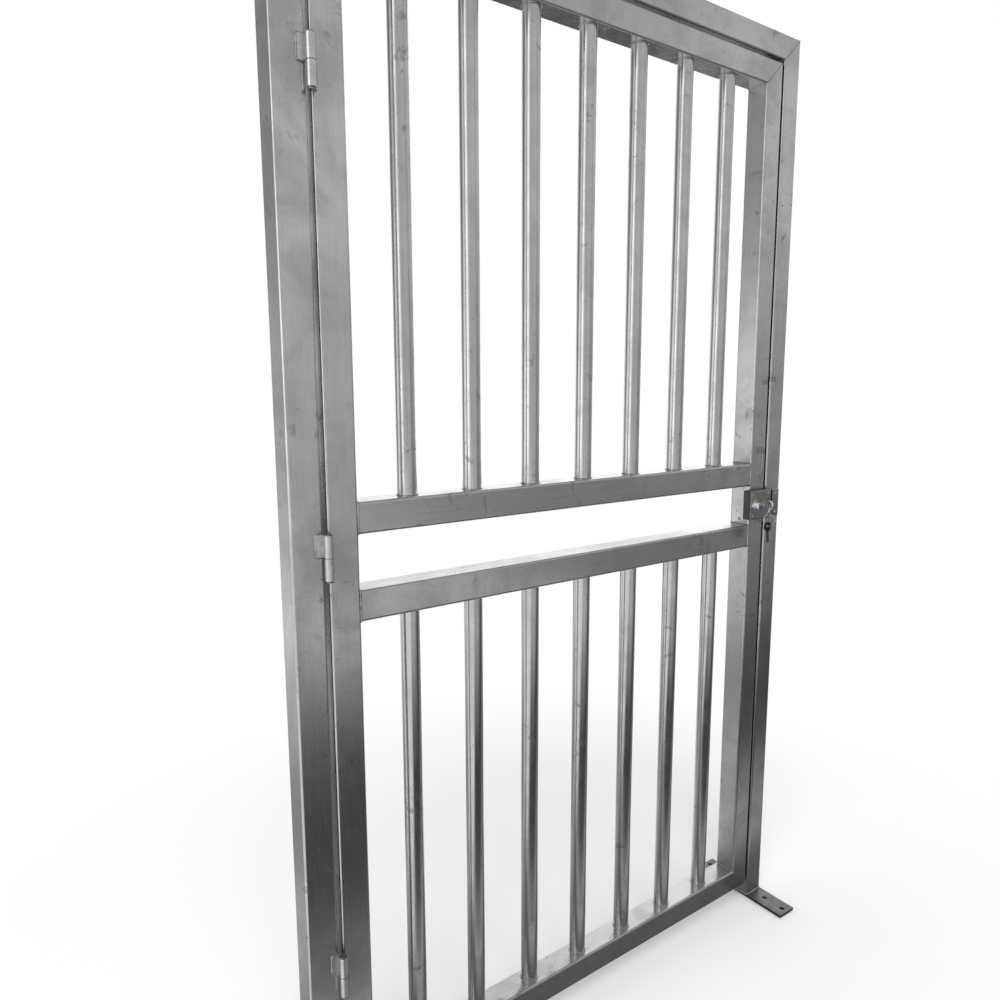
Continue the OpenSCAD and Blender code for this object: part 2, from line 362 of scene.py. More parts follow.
def makePlainMetal(name, tone, dull, rough, grainScale=300, contrast=0.5):
    metal, tree, shader, place = startMetal(name)
    fine = addNoise(tree, place, grainScale, 3.0)
    broad = addRange(tree, addNoise(tree, place, 60.0, 4.0, 0.6, 0.5), 0.35, 0.7)
    colour = addMix(tree, addMath(tree, "MULTIPLY", broad, contrast), tone, dull)
    tree.links.new(colour, shader.inputs["Base Color"])
    roughness = addMath(tree, "ADD", addMath(tree, "MULTIPLY", broad, 0.12), rough)
    tree.links.new(roughness, shader.inputs["Roughness"])
    bump = tree.nodes.new("ShaderNodeBump")
    bump.inputs["Strength"].default_value = 0.15
    bump.inputs["Distance"].default_value = 0.0003
    tree.links.new(fine, bump.inputs["Height"])
    tree.links.new(bump.outputs["Normal"], shader.inputs["Normal"])
    return metal


def hingeMiddle(name):
    low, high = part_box(name + "_hinge_pin")
    return (low + high) / 2


def cornersOf(first, last):
    half = tubeSize / 2
    low = Vector((first[0].x + half, 0, first[0].z + half))
    high = Vector((last[1].x - half, 0, last[1].z - half))
    return low, high


hingePlaces = [(hingeMiddle(name) + Vector((0, 0.01, 0)), 0.085) for name in hingeNames]
portalLow, portalHigh = cornersOf(leftPost, rightPost)
leafLow, leafHigh = cornersOf(hingeStile, lockStile)
portalJointDark = hingePlaces + [(Vector((x, 0, portalHigh.z)), 0.075) for x in (portalLow.x, portalHigh.x)]
leafJointDark = hingePlaces + [(Vector((x, 0, z)), 0.07)
                          for x in (leafLow.x, leafHigh.x) for z in (leafLow.z, leafHigh.z)]

portalUp = makeSteel("portalSteelUpright", "z", portalJointDark)
portalAlong = makeSteel("portalSteelAlong", "x", portalJointDark)
leafUp = makeSteel("leafSteelUpright", "z", leafJointDark)
leafAlong = makeSteel("leafSteelAlong", "x", leafJointDark)
barSteel = makeSteel("barSteel", "z", [], cloudScale=14.0, rough=0.17,
                     tone=(0.60, 0.60, 0.605, 1), dull=(0.52, 0.52, 0.525, 1))
plateSteel = makeSteel("footPlateSteel", "y", [], cloudScale=22.0, rough=0.36,
                       tone=(0.19, 0.19, 0.193, 1), dull=(0.13, 0.13, 0.132, 1))
hingeSteel = makePlainMetal("hingeSteel", (0.66, 0.66, 0.66, 1), (0.46, 0.46, 0.465, 1), 0.24)
pinSteel = makePlainMetal("pinSteel", (0.26, 0.26, 0.26, 1), (0.14, 0.14, 0.14, 1), 0.36)
weldSteel = makePlainMetal("weldSteel", (0.50, 0.50, 0.495, 1), (0.27, 0.265, 0.26, 1), 0.3, 500, 0.9)
lockSteel = makePlainMetal("lockSteel", (0.36, 0.368, 0.365, 1), (0.25, 0.257, 0.255, 1), 0.3)
# Near-black case and back plate: a darker finish than the cover, deepened to paint the shade of the recess at
# the lock's side
lockCaseShade = makePlainMetal("lockCasePaintedShade", (0.10, 0.102, 0.102, 1), (0.06, 0.06, 0.06, 1), 0.42)
chromeSteel = makePlainMetal("knobChrome", (0.78, 0.78, 0.79, 1), (0.66, 0.66, 0.67, 1), 0.1)
brassMetal = makePlainMetal("cylinderBrass", (0.52, 0.50, 0.40, 1), (0.36, 0.36, 0.30, 1), 0.22)
keySteel = makePlainMetal("keyNickel", (0.66, 0.66, 0.65, 1), (0.46, 0.46, 0.46, 1), 0.2)
bladeSteel = makePlainMetal("keyBlade", (0.16, 0.16, 0.165, 1), (0.09, 0.09, 0.09, 1), 0.34)


def makeDarkPaint():
    paint = bpy.data.materials.new("keyHeadPlastic")
    paint.use_nodes = True
    tree = paint.node_tree
    shader = tree.nodes["Principled BSDF"]
    place = tree.nodes.new("ShaderNodeTexCoord").outputs["Object"]
    cloud = addNoise(tree, place, 220.0, 3.0)
    colour = addMix(tree, cloud, (0.012, 0.012, 0.013, 1), (0.03, 0.03, 0.031, 1))
    tree.links.new(colour, shader.inputs["Base Color"])
    tree.links.new(addRange(tree, cloud, 0.3, 0.7, 0.42, 0.6), shader.inputs["Roughness"])
    return paint


darkPlastic = makeDarkPaint()


def giveMaterial(piece, material):
    if piece.data.materials:
        for index in range(len(piece.data.materials)):
            piece.data.materials[index] = material
    else:
        piece.data.materials.append(material)


coats = {
    portalUp: ["left_post", "right_post"],
    portalAlong: ["top_beam"],
    leafUp: ["hinge_stile", "lock_stile"],
    leafAlong: ["leaf_top_rail", "leaf_bottom_rail", "lower_mid_rail", "upper_mid_rail"],
    plateSteel: ["left_foot_plate", "right_foot_plate"],
    hingeSteel: [h + part for h in hingeNames for part in ("_hinge_post_half", "_hinge_leaf_half")],
    pinSteel: [h + "_hinge_pin" for h in hingeNames],
    lockSteel: ["lock_keeper", "latch_bolt"],
    lockCaseShade: ["lock_back_plate", "lock_case"],
    chromeSteel: ["lock_knob"],
    brassMetal: ["lock_cylinder"],
    barSteel: [n for n in nodes if n.startswith(fieldNames)],
}
for material, names in coats.items():
    for name in names:
        giveMaterial(nodes[name], material)
print("steel on", sum(len(names) for names in coats.values()), "of", len(nodes), "nodes")


def beadAlong(outline, radius, name):
    # The outline's edges become a curve whose beads swell and shrink
    pickOnly(outline)
    bpy.ops.object.convert(target="CURVE")
    path = outline.data
    path.bevel_depth = radius
    path.bevel_resolution = 1
    path.use_fill_caps = True
    for line in path.splines:
        for index, point in enumerate(line.points):
            point.radius = 1.12 if index % 2 else 0.86
    bpy.ops.object.convert(target="MESH")
    outline.name = name
    turnOutwards(outline)
    smooth(outline, 60)
    return outline


def splitEdges(outline, step):
    pickOnly(outline)
    longest = max((outline.data.vertices[e.vertices[0]].co - outline.data.vertices[e.vertices[1]].co).length
                  for e in outline.data.edges)
    selectEdges(outline, lambda a, b: (a - b).length > 0.5 * longest)
    bpy.ops.mesh.subdivide(number_cuts=max(1, int(longest / step)))
    bpy.ops.object.mode_set(mode="OBJECT")


def squareOutline(width, height, corner, turn, place, name):
    # Round-cornered rectangle, without a face, turned into its plane
    startFresh()
    bpy.ops.mesh.primitive_plane_add(size=1)
    outline = bpy.context.object
    bpy.ops.object.mode_set(mode="EDIT")
    bpy.ops.transform.resize(value=(width, width, 1))
    bpy.ops.mesh.select_mode(type="VERT")
    bpy.ops.mesh.select_all(action="SELECT")
    bpy.ops.mesh.bevel(offset=corner, segments=3, affect="VERTICES")
    bpy.ops.mesh.select_all(action="SELECT")
    bpy.ops.mesh.delete(type="ONLY_FACE")
    bpy.ops.mesh.select_all(action="SELECT")
    bpy.ops.transform.resize(value=(1, height / width, 1))
    bpy.ops.object.mode_set(mode="OBJECT")
    outline.rotation_euler = Euler(tuple(math.radians(t) for t in turn))
    outline.location = place
    return settle(outline, name)


weldSizes = {"bar": 0.0018, "rail": 0.0018, "foot": 0.0024, "mitre": 0.0009, "hinge": 0.0021,
             "step": 0.0026, "corner": 0.004, "wingCorner": 0.001, "wingInset": 0.003}


def makeBarWelds():
    radius = (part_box("upper_bar_1")[1].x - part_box("upper_bar_1")[0].x) / 2
    startFresh()
    bpy.ops.mesh.primitive_circle_add(vertices=48, radius=radius)
    ring = bpy.context.object
    bpy.ops.object.mode_set(mode="EDIT")
    bpy.ops.mesh.select_all(action="SELECT")
    bpy.ops.transform.resize(value=(1.01, 1.01, 1))
    bpy.ops.object.mode_set(mode="OBJECT")
    ring = beadAlong(ring, weldSizes["bar"], "ring")
    rings = []
    for name in coats[barSteel]:
        low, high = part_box(name)
        for z in (low.z, high.z):
            rings.append(copyTo(ring, ((low.x + high.x) / 2, (low.y + high.y) / 2, z)))
    bpy.data.objects.remove(ring)
    return joinAll(rings, "bar_welds")


def makeRailWelds():
    welds = []
    for low, high in (lowerRail, upperRail):
        for x in (low.x, high.x):
            place = Vector((x, 0, (low.z + high.z) / 2))
            outline = squareOutline(tubeSize, tubeSize, weldSizes["corner"], (0, 90, 0), place, "railOutline")
            splitEdges(outline, weldSizes["step"])
            welds.append(beadAlong(outline, weldSizes["rail"], "railWeld"))
    return joinAll(welds, "rail_welds")


def makeMitreWelds(corners, name):
    # Each corner is (x, z, +1 where the seam rises to the right)
    welds = []
    for x, z, slope in corners:
        outline = squareOutline(tubeSize, tubeSize * math.sqrt(2), weldSizes["corner"],
                                (0, 0, 0), (0, 0, 0), "mitreOutline")
        outline.rotation_euler = Euler((0, 0, math.radians(90)))
        outline = settle(outline, "mitreOutline")
        outline.rotation_euler = Euler((0, math.radians(-45 * slope), 0))
        outline.location = (x, 0, z)
        outline = settle(outline, "mitreOutline")
        splitEdges(outline, weldSizes["step"])
        welds.append(beadAlong(outline, weldSizes["mitre"], "mitreWeld"))
    return joinAll(welds, name)


def makeFootWelds():
    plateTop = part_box("left_foot_plate")[1].z
    welds = []
    for low, high in (leftPost, rightPost):
        place = Vector(((low.x + high.x) / 2, 0, plateTop))
        outline = squareOutline(tubeSize, tubeSize, weldSizes["corner"], (0, 0, 0), place, "footOutline")
        splitEdges(outline, weldSizes["step"])
        welds.append(beadAlong(outline, weldSizes["foot"], "footWeld"))
    return joinAll(welds, "foot_welds")


def makeHingeWelds(side, name):
    welds = []
    for hinge in hingeNames:
        low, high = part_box(hinge + ("_hinge_leaf_half" if side > 0 else "_hinge_post_half"))
        inset = weldSizes["wingInset"]
        inner = hingeStile[0].x + inset if side > 0 else leftPost[1].x - inset
        outer = high.x if side > 0 else low.x
        width, height = abs(outer - inner), high.z - low.z
        place = Vector(((inner + outer) / 2, frontY, (low.z + high.z) / 2))
        outline = squareOutline(width, height, weldSizes["wingCorner"], (90, 0, 0), place, "wingOutline")
        splitEdges(outline, weldSizes["step"])
        welds.append(beadAlong(outline, weldSizes["hinge"], "wingWeld"))
    return joinAll(welds, name)


portalCorners = [(portalLow.x, portalHigh.z, -1), (portalHigh.x, portalHigh.z, 1)]
leafCorners = [(leafLow.x, leafHigh.z, -1), (leafHigh.x, leafHigh.z, 1),
               (leafLow.x, leafLow.z, 1), (leafHigh.x, leafLow.z, -1)]
weldPieces = [
    (makeBarWelds(), "leaf"), (makeRailWelds(), "leaf"),
    (makeMitreWelds(leafCorners, "leaf_mitre_welds"), "leaf"),
    (makeMitreWelds(portalCorners, "portal_mitre_welds"), "portal"),
    (makeFootWelds(), "portal"),
    (makeHingeWelds(1, "hinge_leaf_welds"), "leaf"), (makeHingeWelds(-1, "hinge_post_welds"), "portal"),
]
for piece, body in weldPieces:
    giveMaterial(piece, weldSteel)
    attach(piece, body)
print("welds:", len(weldPieces), "pieces")


lockLook = {"edge": 0.00072, "coverThick": 0.0016, "proud": 0.0006, "faceInset": 0.005, "faceDepth": 0.0008}
screwLook = {"radius": 0.0036, "height": 0.0024, "edge": 0.28, "slotHalf": 0.0005, "slotDepth": 0.0007,
             "inset": 0.0085, "keeperInset": 0.009, "sink": 0.0004}
lockMiddle = (lockCase[0] + lockCase[1]) / 2


def makeScrew(place, name):
    # Raised head with one slot, facing -Y
    radius, half = screwLook["radius"], screwLook["slotHalf"]
    startFresh()
    bpy.ops.mesh.primitive_cylinder_add(vertices=24, radius=radius, depth=screwLook["height"])
    screw = bpy.context.object
    selectFaces(screw, lambda c, n: n.z > 0.9)
    bpy.ops.mesh.bevel(offset=radius * screwLook["edge"], segments=3, affect="EDGES")
    for side in (-1, 1):
        bpy.ops.mesh.select_all(action="SELECT")
        bpy.ops.mesh.bisect(plane_co=(side * half, 0, 0), plane_no=(1, 0, 0))
    selectFaces(screw, lambda c, n: n.z > 0.9 and abs(c.x) < 0.8 * half)
    bpy.ops.mesh.extrude_region_move(TRANSFORM_OT_translate={"value": (0, 0, -screwLook["slotDepth"])})
    bpy.ops.object.mode_set(mode="OBJECT")
    screw.rotation_euler = Euler((math.radians(90), 0, 0))
    screw.location = place
    settle(screw, name)
    smooth(screw, 30)
    return screw


def makeLockCover():
    # Cast front of the case, with a softened rim and a shallow sunk face
    low, high = lockCase
    size = high - low
    startFresh()
    bpy.ops.mesh.primitive_cube_add(size=1, location=(lockMiddle.x, low.y - lockLook["proud"], lockMiddle.z),
                                    scale=(size.x, lockLook["coverThick"], size.z))
    cover = settle(bpy.context.object, "lock_cover")
    bevelEdges(cover, lockLook["edge"], 3)
    pickOnly(cover)
    selectFaces(cover, lambda c, n: n.y < -0.99)
    bpy.ops.mesh.inset(thickness=lockLook["faceInset"])
    bpy.ops.mesh.extrude_region_move(TRANSFORM_OT_translate={"value": (0, lockLook["faceDepth"], 0)})
    bpy.ops.object.mode_set(mode="OBJECT")
    smooth(cover, 30)
    return cover


roseLook = {"edge": 0.0008, "rim": 0.0016, "sink": 0.0007, "plugInset": 0.0008, "plugRise": 0.0011}


def makeCylinderFace():
    # Round rose with a sunk ring and a raised plug
    low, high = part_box("lock_cylinder")
    middle = (low + high) / 2
    radius = (high.x - low.x) / 2
    startFresh()
    bpy.ops.mesh.primitive_cylinder_add(vertices=48, radius=radius, depth=high.y - low.y)
    rose = bpy.context.object
    selectFaces(rose, lambda c, n: n.z > 0.9)
    bpy.ops.mesh.bevel(offset=roseLook["edge"], segments=3, affect="EDGES")
    selectFaces(rose, lambda c, n: n.z > 0.99)
    bpy.ops.mesh.inset(thickness=roseLook["rim"])
    bpy.ops.mesh.extrude_region_move(TRANSFORM_OT_translate={"value": (0, 0, -roseLook["sink"])})
    bpy.ops.mesh.inset(thickness=roseLook["plugInset"])
    bpy.ops.mesh.extrude_region_move(TRANSFORM_OT_translate={"value": (0, 0, roseLook["plugRise"])})
    bpy.ops.object.mode_set(mode="OBJECT")
    rose.rotation_euler = Euler((math.radians(90), 0, 0))
    rose.location = middle
    settle(rose, "cylinder_rose")
    smooth(rose, 30)
    return rose


knobLook = {
    "footThick": 0.002,
    "footLift": 0.0015,
    "footEdge": 0.0007,
    "spindleRadius": 0.003,
    "spindleDepth": 0.0025,
    "spindleLift": 0.0003,
    "spindleInset": 0.0006,
    "gripThick": 0.005,
    "gripFrom": 0.0025,
    "gripEdge": 0.0012,
    "waist": 0.4,
}


def makeKnob():
    # Turn knob: round foot with a soft edge, waisted grip and a spindle end
    low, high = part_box("lock_knob")
    middle = (low + high) / 2
    front = lockCase[0].y
    radius = (high.x - low.x) / 2
    reach = front - low.y
    startFresh()
    bpy.ops.mesh.primitive_cylinder_add(vertices=48, radius=radius, depth=knobLook["footThick"])
    foot = bpy.context.object
    foot.location.z = knobLook["footLift"]
    selectFaces(foot, lambda c, n: n.z > 0.9)
    bpy.ops.mesh.bevel(offset=knobLook["footEdge"], segments=3, affect="EDGES")
    bpy.ops.object.mode_set(mode="OBJECT")
    startFresh()
    bpy.ops.mesh.primitive_cylinder_add(vertices=24, radius=knobLook["spindleRadius"],
                                        depth=knobLook["spindleDepth"],
                                        location=(0, 0, knobLook["spindleLift"]))
    spindle = bpy.context.object
    selectFaces(spindle, lambda c, n: n.z < -0.9)
    bpy.ops.mesh.inset(thickness=knobLook["spindleInset"])
    bpy.ops.object.mode_set(mode="OBJECT")
    startFresh()
    gripFrom = knobLook["gripFrom"]
    grip = reach - gripFrom
    waistZ = gripFrom + grip * knobLook["waist"]
    bpy.ops.mesh.primitive_cube_add(size=1, location=(0, 0, gripFrom + grip / 2),
                                    scale=(knobLook["gripThick"], 2 * radius - 0.002, grip))
    wing = bpy.context.object
    bpy.ops.object.transform_apply(location=True, rotation=True, scale=True)
    bpy.ops.object.mode_set(mode="EDIT")
    bpy.ops.mesh.select_all(action="SELECT")
    bpy.ops.mesh.bisect(plane_co=(0, 0, waistZ), plane_no=(0, 0, 1))
    bpy.ops.object.mode_set(mode="OBJECT")
    selectEdges(wing, lambda a, b: max(abs(a.z - waistZ), abs(b.z - waistZ)) < 0.0002)
    bpy.ops.transform.resize(value=(0.62, 0.8, 1))
    bpy.ops.object.mode_set(mode="OBJECT")
    bevelEdges(wing, knobLook["gripEdge"], 3)
    knob = joinAll([foot, spindle, wing], "turn_knob")
    knob.rotation_euler = Euler((math.radians(90), 0, 0))
    knob.location = (middle.x, front, middle.z)
    settle(knob, "turn_knob")
    smooth(knob, 30)
    return knob


boltNose = 0.0015


def makeBoltHead():
    # Bolt with its chamfered nose towards the keeper
    low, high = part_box("latch_bolt")
    size = high - low
    startFresh()
    bpy.ops.mesh.primitive_cube_add(size=1, location=(low + high) / 2, scale=size)
    bolt = settle(bpy.context.object, "bolt_bar")
    selectEdges(bolt, lambda a, b: min(a.x, b.x) > high.x - 0.0001)
    bpy.ops.mesh.bevel(offset=boltNose, segments=3, affect="EDGES")
    bpy.ops.object.mode_set(mode="OBJECT")
    smooth(bolt, 30)
    return bolt


keeperLook = {"wall": 0.0025, "edge": 0.0016}


def makeKeeperBox():
    # Keeper bent from plate, with rounded outer edges and its open side to the leaf
    low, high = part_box("lock_keeper")
    size = high - low
    wall = keeperLook["wall"]
    startFresh()
    bpy.ops.mesh.primitive_cube_add(size=1, location=(low + high) / 2, scale=size)
    keeper = settle(bpy.context.object, "keeper_box")
    selectEdges(keeper, lambda a, b: (a.y + b.y) / 2 < low.y + 0.0001 and max(a.x, b.x) >= low.x + 0.0001)
    bpy.ops.mesh.bevel(offset=keeperLook["edge"], segments=4, affect="EDGES")
    bpy.ops.object.mode_set(mode="OBJECT")
    pickOnly(keeper)
    selectFaces(keeper, lambda c, n: n.x < -0.99)
    bpy.ops.mesh.inset(thickness=wall)
    bpy.ops.mesh.extrude_region_move(TRANSFORM_OT_translate={"value": (size.x - wall, 0, 0)})
    bpy.ops.object.mode_set(mode="OBJECT")
    turnOutwards(keeper)
    smooth(keeper, 30)
    return keeper


cover = makeLockCover()
screws = []
screwReach = (lockCase[1] - lockCase[0]) / 2 - Vector((1, 0, 1)) * screwLook["inset"]
for dx in (-1, 1):
    for dz in (-1, 1):
        spot = Vector((lockMiddle.x + dx * screwReach.x, lockCase[0].y - lockLook["proud"],
                       lockMiddle.z + dz * screwReach.z))
        screws.append(makeScrew(spot, "screw"))
caseScrews = joinAll(screws, "case_screws")
keeperLow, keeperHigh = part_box("lock_keeper")
keeperX, keeperFront = (keeperLow.x + keeperHigh.x) / 2, keeperLow.y - screwLook["sink"]
keeperScrews = joinAll([makeScrew(Vector((keeperX, keeperFront, z)), "screw")
                        for z in (keeperLow.z + screwLook["keeperInset"],
                                  keeperHigh.z - screwLook["keeperInset"])],
                       "keeper_screws")
stileScrew = makeScrew(Vector((0, 0, 0)), "stile_screw")
stileScrew.rotation_euler = Euler((0, 0, math.radians(-90)))
stileScrew.location = (lockStile[0].x - screwLook["sink"], 0, lowerRail[1].z + 0.011)
settle(stileScrew, "stile_screw")

rose = makeCylinderFace()
knob = makeKnob()
bolt = makeBoltHead()
keeper = makeKeeperBox()
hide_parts("lock_cylinder")
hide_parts("lock_knob")
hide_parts("latch_bolt")
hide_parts("lock_keeper")
for piece, material, body, slotName in (
        (cover, lockSteel, "leaf", "lock_body"), (caseScrews, hingeSteel, "leaf", "lock_body"),
        (keeperScrews, hingeSteel, "portal", "lock_body"), (stileScrew, weldSteel, "leaf", "lock_body"),
        (rose, brassMetal, "leaf", "lock_cylinder"), (knob, chromeSteel, "knob", "lock_knob"),
        (bolt, hingeSteel, "bolt", "latch_bolt"), (keeper, lockSteel, "portal", "lock_body")):
    giveMaterial(piece, material)
    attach(piece, body)
print("lock: cover, screws, rose, knob, bolt, keeper")


keyLook = {
    "head": 0.011,
    "thick": 0.0022,
    "edge": 0.0004,
    "rim": 0.62,
    "root": 0.7,
    "blade": 0.0075,
    "steps": 7,
    "bite": 0.0011,
    "long": 0.03,
    "neck": 0.009,
    "ring": 0.0125,
    "wire": 0.0009,
}


def makeKey(length):
    # Round head with a hole, then a blade with bitting; it lies in XZ and hangs from its hole at the origin
    head, thick = keyLook["head"], keyLook["thick"]
    startFresh()
    bpy.ops.mesh.primitive_cylinder_add(vertices=40, radius=head, depth=thick)
    bow = bpy.context.object
    bpy.ops.object.mode_set(mode="EDIT")
    bpy.ops.mesh.select_all(action="SELECT")
    bpy.ops.transform.resize(value=(1, 0.9, 1))
    bpy.ops.object.mode_set(mode="OBJECT")
    selectFaces(bow, lambda c, n: abs(n.z) > 0.9)
    bpy.ops.mesh.inset(thickness=head * keyLook["rim"])
    bpy.ops.mesh.bridge_edge_loops()
    bpy.ops.object.mode_set(mode="OBJECT")
    bevelEdges(bow, keyLook["edge"], 2)
    root, steps = -head * keyLook["root"], keyLook["steps"]
    startFresh()
    bpy.ops.mesh.primitive_cube_add(size=1, location=(0, root - length / 2, 0),
                                    scale=(keyLook["blade"], length, thick * 0.85))
    blade = bpy.context.object
    bpy.ops.object.transform_apply(location=True, rotation=True, scale=True)
    bpy.ops.object.mode_set(mode="EDIT")
    for cut in range(1, steps):
        bpy.ops.mesh.select_all(action="SELECT")
        bpy.ops.mesh.bisect(plane_co=(0, root - length * cut / steps, 0), plane_no=(0, 1, 0))
    bpy.ops.object.mode_set(mode="OBJECT")
    for cut in range(2, steps, 2):
        y = root - length * cut / steps
        selectEdges(blade, lambda a, b: max(abs(a.y - y), abs(b.y - y)) < 0.0002 and min(a.x, b.x) > 0.001)
        bpy.ops.transform.translate(value=(-keyLook["bite"] - 0.0003 * (cut % 4), 0, 0))
        bpy.ops.object.mode_set(mode="OBJECT")
    return bow, blade


def placeKey(name, length, place, turn, headMaterial, bladeMaterial):
    bow, blade = makeKey(length)
    giveMaterial(bow, headMaterial)
    giveMaterial(blade, bladeMaterial)
    key = joinAll([bow, blade], name)
    key.rotation_euler = Euler(tuple(math.radians(t) for t in turn))
    key.location = place
    settle(key, name)
    smooth(key, 30)
    return key


def makeKeyRing(name, place, turn):
    # Split ring: two turns of wire side by side
    coils = []
    for shift in (-1, 1):
        startFresh()
        wire = keyLook["wire"]
        bpy.ops.mesh.primitive_torus_add(major_segments=48, minor_segments=8, major_radius=keyLook["ring"],
                                         minor_radius=wire, location=(0, 0, shift * wire * 0.8))
        coil = bpy.context.object
        bpy.ops.object.mode_set(mode="EDIT")
        bpy.ops.mesh.select_all(action="SELECT")
        bpy.ops.transform.resize(value=(1, 1, 0.8))
        bpy.ops.object.mode_set(mode="OBJECT")
        coils.append(coil)
    ring = joinAll(coils, name)
    ring.rotation_euler = Euler(tuple(math.radians(t) for t in turn))
    ring.location = place
    settle(ring, name)
    smooth(ring, 60)
    return ring


roseLow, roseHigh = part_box("lock_cylinder")
roseX, roseZ = (roseLow.x + roseHigh.x) / 2, (roseLow.z + roseHigh.z) / 2
keyFront = roseLow.y
keyInLock = placeKey("key_in_lock", keyLook["neck"], (roseX, keyFront - 0.0155, roseZ), (0, 90, 180),
                     keySteel, keySteel)
drop = 2 * keyLook["ring"] - 0.003
upperPlace = Vector((roseX, keyFront - 0.0165, roseZ - keyLook["ring"] + 0.001))
upperRing = makeKeyRing("key_ring_1", upperPlace, (90, 0, 30))
lowerRing = makeKeyRing("key_ring_2", upperPlace - Vector((0, 0, drop)), (90, 0, -55))
hang = upperPlace - Vector((0, 0, drop + keyLook["ring"]))
keyOne = placeKey("hanging_key_1", keyLook["long"], hang + Vector((0.0018, -0.0026, -0.001)), (90, 7, 28),
                  darkPlastic, bladeSteel)
keyTwo = placeKey("hanging_key_2", keyLook["long"], hang + Vector((-0.002, 0.003, -0.001)), (90, -9, -2),
                  darkPlastic, bladeSteel)
giveMaterial(upperRing, keySteel)
giveMaterial(lowerRing, keySteel)
for piece in (keyInLock, upperRing, lowerRing, keyOne, keyTwo):
    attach(piece, "leaf")
print("keys: one in the lock, two on its ring")


studio = {
    "middle": (gateMiddle.x, 0, 1.0),
    "radius": 9.0,
    "wallStrength": 1.7,
    "shadeCardGlow": 1.0,
    "floorTone": 0.93,
    "floorFade": (0.7, 1.7),
    "worldStrength": 0.85,
    "softbox": (-1.6, -2.4, 3.6),
    "softboxSize": (3.0, 2.4),
    "softboxPower": 95,
}


def hideFromAllButGloss(card):
    card.visible_camera = False
    card.visible_diffuse = False
    card.visible_shadow = False
    card.visible_transmission = False
    card.visible_volume_scatter = False


def addRamp(tree, value, stops):
    ramp = tree.nodes.new("ShaderNodeValToRGB")
    ramp.color_ramp.interpolation = "EASE"
    line = ramp.color_ramp.elements
    while len(line) < len(stops):
        line.new(0.5)
    for stop, (at, level) in zip(line, stops):
        stop.position = at
        stop.color = (level, level, level, 1)
    tree.links.new(value, ramp.inputs["Fac"])
    return ramp.outputs["Color"]


def makeCardMaterial(name, strength):
    glowCard = bpy.data.materials.new(name)
    glowCard.use_nodes = True
    tree = glowCard.node_tree
    tree.nodes.clear()
    glow = tree.nodes.new("ShaderNodeEmission")
    glow.inputs["Strength"].default_value = strength
    sink = tree.nodes.new("ShaderNodeOutputMaterial")
    tree.links.new(glow.outputs[0], sink.inputs["Surface"])
    glowCard.cycles.emission_sampling = "NONE"
    place = tree.nodes.new("ShaderNodeTexCoord").outputs["Object"]
    return glowCard, tree, glow, place


# Glowing walls round the gate, seen only in the metal: their grey and white bands paint the light and shade
# reflected in it. Degrees are counted from straight in front, towards the lock side; low is by the horizon,
# high above it.
wallGlowTones = {
    "low": [(-180, 0.62), (-170, 0.44), (-159, 0.36), (-149, 0.15), (-138, 0.11), (-128, 0.62), (-112, 0.8),
            (-90, 1.0), (-66, 1.0), (-56, 0.45), (-44, 0.31), (12, 0.34), (24, 0.32), (36, 0.2), (48, 0.185),
            (56, 0.215), (64, 0.22), (80, 0.3), (104, 0.85), (135, 0.8), (180, 0.62)],
    "high": [(-180, 0.55), (-170, 0.36), (-159, 0.24), (-149, 0.13), (-138, 0.11), (-126, 0.26), (-108, 0.6),
             (-88, 1.0), (-70, 1.0), (-58, 0.45), (-46, 0.36), (0, 0.4), (24, 0.4), (36, 0.33), (44, 0.33),
             (54, 0.4), (64, 0.42), (80, 0.42), (104, 0.85), (150, 0.7), (180, 0.55)],
    "top": [(0.0, 1.0), (0.4, 0.95), (0.75, 0.6), (1.0, 0.5)],
}


def makeGlowWalls():
    glowCard, tree, glow, place = makeCardMaterial("reflectionWallGlow", studio["wallStrength"])
    parts = tree.nodes.new("ShaderNodeSeparateXYZ")
    tree.links.new(place, parts.inputs[0])
    turn = addMath(tree, "ARCTAN2", parts.outputs["X"], addMath(tree, "MULTIPLY", parts.outputs["Y"], -1.0))
    share = addMath(tree, "ADD", addMath(tree, "DIVIDE", turn, 2 * math.pi), 0.5)
    low, high = (addRamp(tree, share, [((degrees + 180) / 360, tone) for degrees, tone in wallGlowTones[level]])
                 for level in ("low", "high"))
    rise = addMath(tree, "DIVIDE", parts.outputs["Z"], studio["radius"])
    tone = addMix(tree, addRange(tree, rise, 0.0, 0.3), low, high)
    top = addRamp(tree, rise, wallGlowTones["top"])
    tree.links.new(addMix(tree, 1.0, tone, top, "MULTIPLY"), glow.inputs["Color"])
    startFresh()
    bpy.ops.mesh.primitive_uv_sphere_add(segments=48, ring_count=24, radius=studio["radius"])
    walls = bpy.context.object
    walls.name = "reflection_glow_walls"
    bpy.ops.object.mode_set(mode="EDIT")
    bpy.ops.mesh.select_all(action="SELECT")
    bpy.ops.mesh.flip_normals()
    bpy.ops.object.mode_set(mode="OBJECT")
    walls.location = studio["middle"]
    giveMaterial(walls, glowCard)
    hideFromAllButGloss(walls)
    return walls


# Glowing disc on the floor, seen only in the metal, whose dark and pale rings paint the shade and light
# reflected low in it; in metres from the gate: behind it below 0, before it above
reflectionShadeTones = [(-4.5, 0.6), (-2.9, 0.95), (-1.8, 0.6), (-0.9, 0.3), (-0.5, 0.5), (-0.2, 0.3), (0.0, 0.14),
                (0.12, 0.13), (0.25, 0.42), (0.4, 0.24), (0.6, 0.075), (1.25, 0.06), (1.7, 0.24), (2.5, 0.6),
                (4.5, 0.6)]
reflectionShadeSpan = 9.0
# Left of this edge the disc glows pale, a painted bright reflection
reflectionShadeEdge = {"bright": 0.95, "behind": 0.9, "before": 0.25, "from": -0.05, "to": 0.3}
